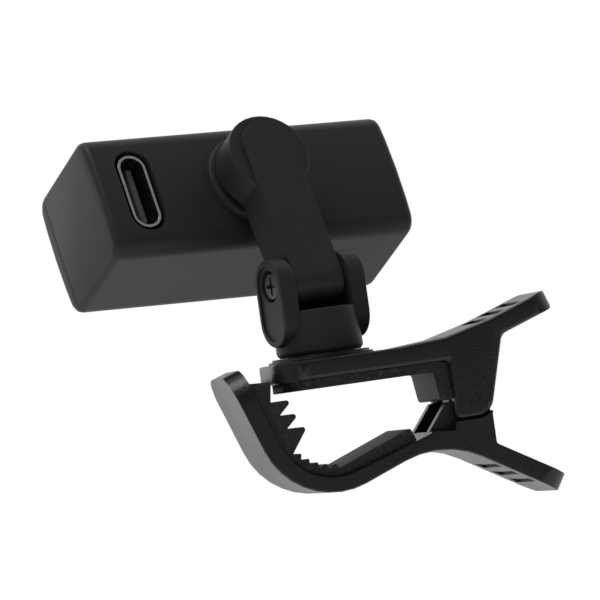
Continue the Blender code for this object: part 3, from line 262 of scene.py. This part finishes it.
# %% Rubber finish
def soft_rubber(name, colour, pore, depth):
    finish = Finish(name)
    pores, dust = finish.noise(pore, 5.0), finish.noise(0.26, 3.0)
    bloom = (dust - 0.54) * 4.0
    dusty = tuple(c * 3.0 + 0.030 for c in colour)
    return finish.surface(
        Base_Color=finish.shade(bloom, colour, dusty),
        Roughness=0.66 + (pores - 0.5) * 0.3,
        Normal=finish.relief(pores, depth),
    )


RUBBER = soft_rubber("grip_rubber", (0.0105, 0.0098, 0.0092), 0.20, 0.120)
print("rubber:", RUBBER.name)

# %% [markdown]
# ## Metals
#
# The screws, the port's shell and the pin are plated steel, the hinge screw is blackened,
# and the coil is bright spring wire. Metal takes its colour in its reflection, so the base
# colour is light, the metallic value is one, and long scratches come from stretched noise.

# %% Metal finishes
def plated(name, colour, roughness, streak):
    finish = Finish(name)
    along = finish.add("ShaderNodeMapping", None, {
        "Vector": finish.place, "Scale": (400.0, 400.0, 9000.0)}, "Vector")
    brushed = finish.add("ShaderNodeTexNoise", None, {
        "Vector": along, "Scale": 1.0, "Detail": 3.0}, "Fac")
    tarnish = finish.noise(1.2)
    duller = tuple(c * 0.72 for c in colour)
    return finish.surface(
        Base_Color=finish.shade(tarnish, duller, colour),
        Metallic=1.0,
        Roughness=roughness + (brushed - 0.5) * streak,
        Normal=finish.relief(brushed, 0.002),
    )


STEEL = plated("bright_steel", (0.78, 0.77, 0.75), 0.24, 0.20)
BLACK_STEEL = plated("black_steel", (0.10, 0.10, 0.105), 0.32, 0.20)
WIRE = plated("spring_steel", (0.42, 0.42, 0.43), 0.30, 0.16)
BRASS = plated("piezo_brass", (0.70, 0.48, 0.18), 0.32, 0.20)
FOIL = plated("battery_foil", (0.72, 0.72, 0.70), 0.36, 0.10)
GOLD = plated("contact_gold", (0.80, 0.60, 0.28), 0.28, 0.10)
print("metals:", STEEL.name, BLACK_STEEL.name, WIRE.name, GOLD.name)

# %% [markdown]
# ## Display and electronics
#
# The lens is a smoked acrylic window, and under it the unlit panel shows a plain scale of
# ticks. They have to follow the head, which leans and turns, so its own three directions
# come first. Two joints give them: the head spins about the line that runs into it, and the
# keys are pressed straight down.

# %% The head's own directions
spin = next(j for j in frame["joints"] if j["name"] == "head_spin")
press = next(j for j in frame["joints"] if j["name"] == "power_press")
HEAD_IN = Vector(spin["axis"]).normalized()
HEAD_UP = -Vector(press["axis"]).normalized()
HEAD_ALONG = HEAD_IN.cross(HEAD_UP).normalized()
HEAD_TURN = Matrix((HEAD_ALONG, HEAD_IN, HEAD_UP)).transposed()
HEAD_CENTRE = Vector(spin["pos_m"])
print("along the head:", [round(v, 3) for v in HEAD_ALONG])
print("up the head:", [round(v, 3) for v in HEAD_UP])

# %% [markdown]
# The ticks are arithmetic. A Mapping node turned like the head gives the distance along it,
# a ping-pong wave of that distance comes back to zero once per tick, and comparing the wave
# with half a tick's width cuts it into bars.

# %% Display finishes
TICK_PITCH, TICK_WIDTH = 1.9 * MM, 0.44 * MM
SCALE_HALF_LONG, SCALE_HALF_TALL = 12.8 * MM, 2.1 * MM


def head_place(finish):
    """Distances in metres along, into and up the head, from its spin axis."""
    return finish.add("ShaderNodeMapping", {"vector_type": "TEXTURE"}, {
        "Vector": finish.place, "Location": HEAD_CENTRE,
        "Rotation": HEAD_TURN.to_euler()}, "Vector")


def parts_of(finish, vector):
    split = finish.add("ShaderNodeSeparateXYZ", None, {"Vector": vector})
    return [Value(finish, socket) for socket in split.socket.node.outputs]


def panel_finish():
    finish = Finish("lcd_glass")
    along, _, up = parts_of(finish, head_place(finish))
    wave = along.maths("PINGPONG", along, TICK_PITCH / 2)
    inside = (abs(up) < SCALE_HALF_TALL) * (abs(along) < SCALE_HALF_LONG)
    bars = (wave < TICK_WIDTH / 2) * inside
    haze = finish.noise(3.0)
    unlit, tick = (0.030, 0.034, 0.036), (0.34, 0.38, 0.38)
    return finish.surface(
        Base_Color=finish.shade(bars * 0.85 + haze * 0.1, unlit, tick),
        Roughness=0.12 + haze * 0.05)


def lens_finish():
    finish = Finish("lens")
    smear, dust = finish.noise(4.0, 3.0), finish.noise(0.3, 1.0)
    return finish.surface(
        Base_Color=finish.shade(dust * 0.4, (0.004, 0.004, 0.005), (0.010, 0.010, 0.012)),
        Roughness=0.05 + smear * 0.06, Alpha=0.36 + (smear - 0.5) * 0.05)


PANEL, LENS = panel_finish(), lens_finish()
print("display finishes:", PANEL.name, LENS.name)

# %% [markdown]
# Behind the display are a green laminate board, whose copper shows through as paler
# patches, and a milky sheet that spreads the back light. The port's tongue is plain plastic.

# %% Board and light finishes
def board_finish():
    finish = Finish("board_laminate")
    weave, copper = finish.noise(0.25, 3.0), finish.noise(1.6, 0.0) > 0.52
    mask, over_copper = (0.008, 0.055, 0.028), (0.02, 0.12, 0.06)
    return finish.surface(
        Base_Color=finish.shade(copper * 0.6 + weave * 0.2, mask, over_copper),
        Roughness=0.35 + weave * 0.15, Normal=finish.relief(copper + weave * 0.4, 0.02))


def diffuser_finish():
    finish = Finish("light_diffuser")
    cloud = finish.noise(0.8)
    return finish.surface(
        Base_Color=finish.shade(cloud, (0.74, 0.76, 0.75), (0.88, 0.89, 0.87)),
        Roughness=0.5 + cloud * 0.1)


BOARD, DIFFUSER = board_finish(), diffuser_finish()
INSULATOR = moulded("usb_insulator", (0.065, 0.065, 0.068), 0.42, 0.10, 0.006)
print("board finishes:", BOARD.name, DIFFUSER.name, INSULATOR.name)

# %% [markdown]
# ## Which node takes which finish
#
# The record already says which material slot each node belongs to, so the finishes are
# looked up by slot name, and no node can be forgotten.

# %% Give every node its finish
FINISHES = {
    m.name.removeprefix("tuner_"): m for m in (
        HOUSING, CLIP, RUBBER, STEEL, BLACK_STEEL, WIRE, NYLON, INSULATOR, LENS, PANEL,
        DIFFUSER, BOARD, SWITCH, FOIL, BRASS, KEY)
}
SLOT = {part["node"]: part["material_slot"] for part in frame["record"]["subparts"]}
for name, node in frame["nodes"].items():
    node.data.materials.clear()
    node.data.materials.append(FINISHES[SLOT[name]])
print(len(frame["nodes"]), "nodes in", len(set(SLOT.values())), "finishes")

# %% [markdown]
# ## Softened copies
#
# A solid model's edges are perfectly sharp and its rounds are made of flats. A moulded part
# has a small radius on every edge, and that radius is what catches light. A merged copy of
# each visible node gets smooth shading across its rounds, sharp marks on its real edges and
# a Bevel modifier there. A bevel only takes material off, so the copy stays in its place.

# %% Copying a node
MERGE = 0.002 * MM
BODY = {node: body for body, nodes in frame["record"]["behaviour"]["bodies"].items()
        for node in nodes}


def piece_from(bm, name, body, finish):
    mesh = bpy.data.meshes.new(name)
    bm.to_mesh(mesh)
    bm.free()
    piece = bpy.data.objects.new(name, mesh)
    mesh.materials.append(finish)
    bpy.context.scene.collection.objects.link(piece)
    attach(piece, body)
    return piece


def smooth_by_angle(piece, degrees):
    for face in piece.data.polygons:
        face.use_smooth = True
    piece.data.set_sharp_from_angle(angle=math.radians(degrees))


def merged_copy(node):
    bm = bmesh.new()
    bm.from_mesh(frame["nodes"][node].data)
    bmesh.ops.remove_doubles(bm, verts=bm.verts[:], dist=MERGE)
    bmesh.ops.dissolve_limit(
        bm, angle_limit=math.radians(0.6), verts=bm.verts[:], edges=bm.edges[:])
    return bm


# %% [markdown]
# The solids keep a small working gap wherever two pieces could rub. Light would shine
# through a gap that the real object doesn't show, so a piece can be pressed against its
# neighbour: only the points that face the neighbour move.

# %% Closing a working gap
SMALLEST_GAP = 0.2 * MM
FACING = 0.4


def pressed_against(bm, neighbour, reach=0.30, left=0.04):
    """Moves points that face the neighbour to within left millimetres of its surface."""
    other = bmesh.new()
    other.from_mesh(frame["nodes"][neighbour].data)
    surface = BVHTree.FromBMesh(other)
    other.free()
    bm.normal_update()
    moved = 0
    for vert in bm.verts:
        near, _, _, gap = surface.find_nearest(vert.co, reach * MM)
        if near is None or gap < SMALLEST_GAP:
            continue
        if (near - vert.co).dot(vert.normal) > FACING * gap:
            vert.co = near.lerp(vert.co, left * MM / gap)
            moved += 1
    print(f"{moved} points pressed against {neighbour}")


print("gaps narrower than", SMALLEST_GAP * 1000, "mm stay as they are")

# %% [markdown]
# Each copy gets a radius that suits its size: a tenth of a millimetre on the levers, half
# that on screws. The arm's edges get a painted highlight: a paler second material that the
# Bevel modifier gives to the faces it makes, in place of the light those edges catch.

# %% Make the softened copies
def softened(node, radius, turn=32.0, against=None, reach=0.30, painted_glint=False):
    bm = merged_copy(node)
    if against:
        pressed_against(bm, against, reach)
    piece = piece_from(bm, "soft_" + node, BODY[node], FINISHES[SLOT[node]])
    smooth_by_angle(piece, turn)
    bevel = piece.modifiers.new("moulded_edges", "BEVEL")
    bevel.width, bevel.segments = radius * MM, 3
    bevel.limit_method, bevel.angle_limit = "ANGLE", math.radians(turn)
    bevel.harden_normals = True
    # the bevel faces take the paler plastic, a painted edge highlight
    if painted_glint:
        piece.data.materials.append(GLINT_PAINT)
        bevel.material = 1
    even = piece.modifiers.new("even_shading", "WEIGHTED_NORMAL")
    even.keep_sharp, even.weight = True, 90
    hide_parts(node)
    return piece


EDGES = {
    "upper_lever": 0.10, "lower_lever": 0.10, "hinge_screw": 0.05, "hinge_nut": 0.08,
    "usb_shell": 0.12, "power_button": 0.12, "mode_button": 0.12,
    "swivel_screw": 0.05, "clip_pin": 0.05, "display_lens": 0.06, "usb_tongue": 0.04,
    "swivel_washer": 0.05, "spin_washer": 0.05, "spin_screw": 0.05,
}
SOFT = {node: softened(node, radius) for node, radius in EDGES.items()}
# the arm's edges get the painted highlight
softened("swivel_arm", 0.07, painted_glint=True)
softened("fork_base", 0.08, against="upper_lever")
print(len(SOFT) + 2, "softened copies, such as", SOFT["upper_lever"].name)

# %% [markdown]
# ## The torsion spring
#
# One leg of the coil lies on the upper lever and the other on the lower one, so opening the
# jaw twists the coil a little more in every turn. Here the coil is a merged copy with smooth
# shading, fixed in place.

# %% Spring
coil = bpy.data.meshes.new("coil_spring")
coil_bm = merged_copy("torsion_spring")
coil_bm.to_mesh(coil)
coil_bm.free()
spring = bpy.data.objects.new("coil_spring", coil)
bpy.context.scene.collection.objects.link(spring)
coil.materials.append(WIRE)
smooth_by_angle(spring, 50.0)
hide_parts("torsion_spring")
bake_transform(spring)

# %% [markdown]
# ## Rubber jaw liners
#
# On the real clip the liners are moulded onto the levers, so no light passes between them.
# The copies are pressed against their levers. The upper lever bends up towards its handle,
# so the upper liner is first cut across into short lengths that can follow the bend.

# %% Liners
LENGTHS = 18
liner = merged_copy("upper_pad")
front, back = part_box("upper_pad")[0].x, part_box("upper_pad")[1].x
for i in range(1, LENGTHS):
    bmesh.ops.bisect_plane(
        liner, geom=liner.verts[:] + liner.edges[:] + liner.faces[:], dist=MERGE,
        plane_co=(front + (back - front) * i / LENGTHS, 0.0, 0.0), plane_no=(1.0, 0.0, 0.0))
pressed_against(liner, "upper_lever", reach=1.4, left=0.01)
upper_liner = piece_from(liner, "upper_liner", "upper_clip", RUBBER)
smooth_by_angle(upper_liner, 32.0)
even = upper_liner.modifiers.new("even_shading", "WEIGHTED_NORMAL")
even.keep_sharp, even.weight = True, 90
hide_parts("upper_pad")
lower_liner = softened("lower_pad", 0.05, against="lower_lever", reach=1.0)
print("liners:", upper_liner.name, lower_liner.name)

# %% [markdown]
# ## The head's two shells
#
# The back and front of the head bulge by half a millimetre, in a few flat strips. Smooth
# shading over long strips with holes in them gives streaks. The true arc is known, so each
# corner of those strips is given the arc's own normal. First the arc has to be known: its
# radius follows from half the head's height and from how far the middle stands out.

# %% The head's bulge
def in_head(point):
    away = Vector(point) - HEAD_CENTRE
    return Vector((away.dot(HEAD_ALONG), away.dot(HEAD_IN), away.dot(HEAD_UP)))


def head_box(node):
    places = [in_head(v.co) for v in frame["nodes"][node].data.vertices]
    return [(min(p[i] for p in places), max(p[i] for p in places)) for i in range(3)]


HALF_TALL = head_box("rear_housing")[2][1]
DEPTH = head_box("front_bezel")[1][1]
CROWN = 0.5 * MM
ARC = (HALF_TALL ** 2 + CROWN ** 2) / (2 * CROWN)
print("the bulge is an arc of", round(ARC * 1000, 1), "mm radius")


def arc_normal(point, side):
    up = in_head(point).z / ARC
    return (HEAD_UP * up + HEAD_IN * side * math.sqrt(1 - up * up)).normalized()


# %% [markdown]
# Now the shells themselves. Their sharp edges are bevelled in the mesh, not by a modifier,
# because the normals are set one by one afterwards. The flat top and bottom keep the normals
# of their flats, and the two shells meet in a fine seam.

# %% Head shells
SEAM = 0.06 * MM
SHELL_EDGE = 0.09 * MM
SAME_PLACE = 0.02 * MM
BIG_FLAT = 15 * MM * MM


def shell(node, seam=None):
    bm = merged_copy(node)
    if seam:
        start, end = seam
        for vert in bm.verts:
            if abs(in_head(vert.co).y - start) < SAME_PLACE:
                vert.co += HEAD_IN * (end - start)
    edges = [e for e in bm.edges if e.calc_face_angle(0.0) > math.radians(32)]
    bmesh.ops.bevel(bm, geom=edges, offset=SHELL_EDGE, segments=2, affect="EDGES",
                    profile=0.5, material=-1, clamp_overlap=True)
    piece = piece_from(bm, "soft_" + node, "head", HOUSING)
    smooth_by_angle(piece, 32.0)
    mesh = piece.data
    bulge = {}
    for face in mesh.polygons:
        side = 1 if face.normal.dot(HEAD_IN) > 0 else -1
        for index in face.vertices:
            depth = in_head(mesh.vertices[index].co).y
            outside = min(abs(depth), abs(depth - DEPTH)) < CROWN + SAME_PLACE
            if abs(face.normal.dot(HEAD_IN)) > 0.985 and outside:
                bulge[index] = arc_normal(mesh.vertices[index].co, side)
            elif face.area > BIG_FLAT and abs(face.normal.dot(HEAD_UP)) > 0.97:
                bulge[index] = face.normal.copy()
    normals = [corner.vector.copy() for corner in mesh.corner_normals]
    for face in mesh.polygons:
        for loop, index in zip(face.loop_indices, face.vertices):
            if index in bulge and face.normal.angle(bulge[index]) < math.radians(30):
                normals[loop] = bulge[index]
    mesh.normals_split_custom_set(normals)
    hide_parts(node)
    return piece


housing_front = head_box("rear_housing")[1][1]
bezel_back = head_box("front_bezel")[1][0]
shell("rear_housing")
shell("front_bezel", seam=(bezel_back, housing_front + SEAM))
print("seam before, in mm:", round((bezel_back - housing_front) * 1000, 2))
print("seam after, in mm:", round(SEAM * 1000, 2))

# %% [markdown]
# ## Contacts of the charging port
#
# A receptacle's tongue carries twelve gold strips on each face. One strip is a cube scaled
# flat and bevelled, and the rest are copies in a row. They are drawn in the head's own
# directions and turned with it.

# %% Port contacts
STRIPS, STRIP_PITCH = 12, 0.5 * MM
STRIP_THICK, STRIP_LONG, STRIP_WIDE = 0.03 * MM, 2.8 * MM, 0.26 * MM
BLADE_HALF = 0.35 * MM
STRIP_LIFT, STRIP_SETBACK = 0.008 * MM, 0.45 * MM

port = head_box("usb_tongue")
port_middle = (port[0][0] + port[0][1]) / 2
blade_tip = port[1][0]
strip_size = Matrix.Diagonal((STRIP_THICK, STRIP_LONG, STRIP_WIDE, 1.0))
contacts = bmesh.new()
for row in range(STRIPS):
    for side in (-1, 1):
        at = Matrix.Translation((
            port_middle + side * (BLADE_HALF + STRIP_LIFT),
            blade_tip + STRIP_SETBACK + STRIP_LONG / 2,
            (row - (STRIPS - 1) / 2) * STRIP_PITCH))
        bmesh.ops.create_cube(contacts, size=1.0, matrix=at @ strip_size)
bmesh.ops.bevel(contacts, geom=contacts.edges[:], offset=0.008 * MM, segments=1,
                affect="EDGES", profile=0.5, material=-1)
contacts.transform(Matrix.Translation(HEAD_CENTRE) @ HEAD_TURN.to_4x4())
port_contacts = piece_from(contacts, "port_contacts", "head", GOLD)
print("contacts:", 2 * STRIPS)

# %% [markdown]
# ## Light
#
# A black object shows its shape by what it reflects. The room is bright behind the tuner and
# dim on the eye's side, so faces seen at a grazing angle turn grey and faces seen square
# stay black. A gradient in the world's own directions does that. The background itself is
# plain white, which a Light Path node keeps apart from the light.

# %% The room's light
world = bpy.data.worlds.new("room")
bpy.context.scene.world = world
world.use_nodes = True
room = world.node_tree.nodes
room.clear()


def room_node(kind, **inputs):
    node = room.new(kind)
    for name, given in inputs.items():
        socket = node.inputs[name.replace("_", " ")]
        if isinstance(given, bpy.types.NodeSocket):
            world.node_tree.links.new(given, socket)
        else:
            socket.default_value = given
    return node


look = room_node("ShaderNodeTexCoord")
split = room_node("ShaderNodeSeparateXYZ", Vector=look.outputs["Generated"])
ramp = room.new("ShaderNodeMapRange")
ramp.interpolation_type = "SMOOTHSTEP"
for name, number in {
        "From Min": -0.75, "From Max": 0.95, "To Min": 0.10, "To Max": 0.98}.items():
    ramp.inputs[name].default_value = number
world.node_tree.links.new(split.outputs["Y"], ramp.inputs["Value"])
around = room_node("ShaderNodeBackground", Strength=ramp.outputs["Result"])
white = room_node("ShaderNodeBackground", Color=(1, 1, 1, 1), Strength=1.0)
path = room_node("ShaderNodeLightPath")
mixed = room.new("ShaderNodeMixShader")
world.node_tree.links.new(path.outputs["Is Camera Ray"], mixed.inputs[0])
world.node_tree.links.new(around.outputs[0], mixed.inputs[1])
world.node_tree.links.new(white.outputs[0], mixed.inputs[2])
room_node("ShaderNodeOutputWorld", Surface=mixed.outputs[0])
around.inputs["Color"].default_value = (1.0, 1.0, 1.0, 1.0)
print("the room is", len(room), "nodes")

# %% [markdown]
# One wide, weak lamp from above on the eye's side lifts the top faces. The floor is a pale
# round board well below the tuner, and it glows a little so that it reads as white.

# %% Lamp and floor
FLOOR_RADIUS, FLOOR_DROP, FLOOR_GLOW = 0.30, 34 * MM, 0.22


def lamp_above(name, at, size, power, aim=(0.0, 0.004, 0.006)):
    lamp = bpy.data.lights.new(name, "AREA")
    lamp.shape, lamp.size, lamp.energy = "DISK", size, power
    holder = bpy.data.objects.new(name, lamp)
    turn = (Vector(aim) - Vector(at)).to_track_quat("-Z", "Y")
    holder.matrix_world = Matrix.Translation(at) @ turn.to_matrix().to_4x4()
    bpy.context.scene.collection.objects.link(holder)


lamp_above("top_lamp", (-0.15, -0.10, 0.55), 0.30, 1.2)
bpy.context.scene.view_settings.view_transform = "Standard"
floor_bm = bmesh.new()
bmesh.ops.create_circle(
    floor_bm, cap_ends=True, segments=96, radius=FLOOR_RADIUS,
    matrix=Matrix.Translation((0.0, 0.0, cad_low.z - FLOOR_DROP)))
floor_mesh = bpy.data.meshes.new("floor")
floor_bm.to_mesh(floor_mesh)
floor_bm.free()
floor = bpy.data.objects.new("floor", floor_mesh)
bpy.context.scene.collection.objects.link(floor)
paint = Finish("pale_board")
mottle = paint.noise(40.0)
floor_mesh.materials.append(paint.surface(
    Base_Color=paint.shade(mottle, (0.84, 0.84, 0.83), (0.88, 0.88, 0.87)),
    Roughness=0.7 + mottle * 0.1,
    Emission_Color=(1.0, 1.0, 1.0, 1.0), Emission_Strength=FLOOR_GLOW))
print("the floor lies", round((cad_low.z - floor_mesh.vertices[0].co.z) * 1000), "mm below")
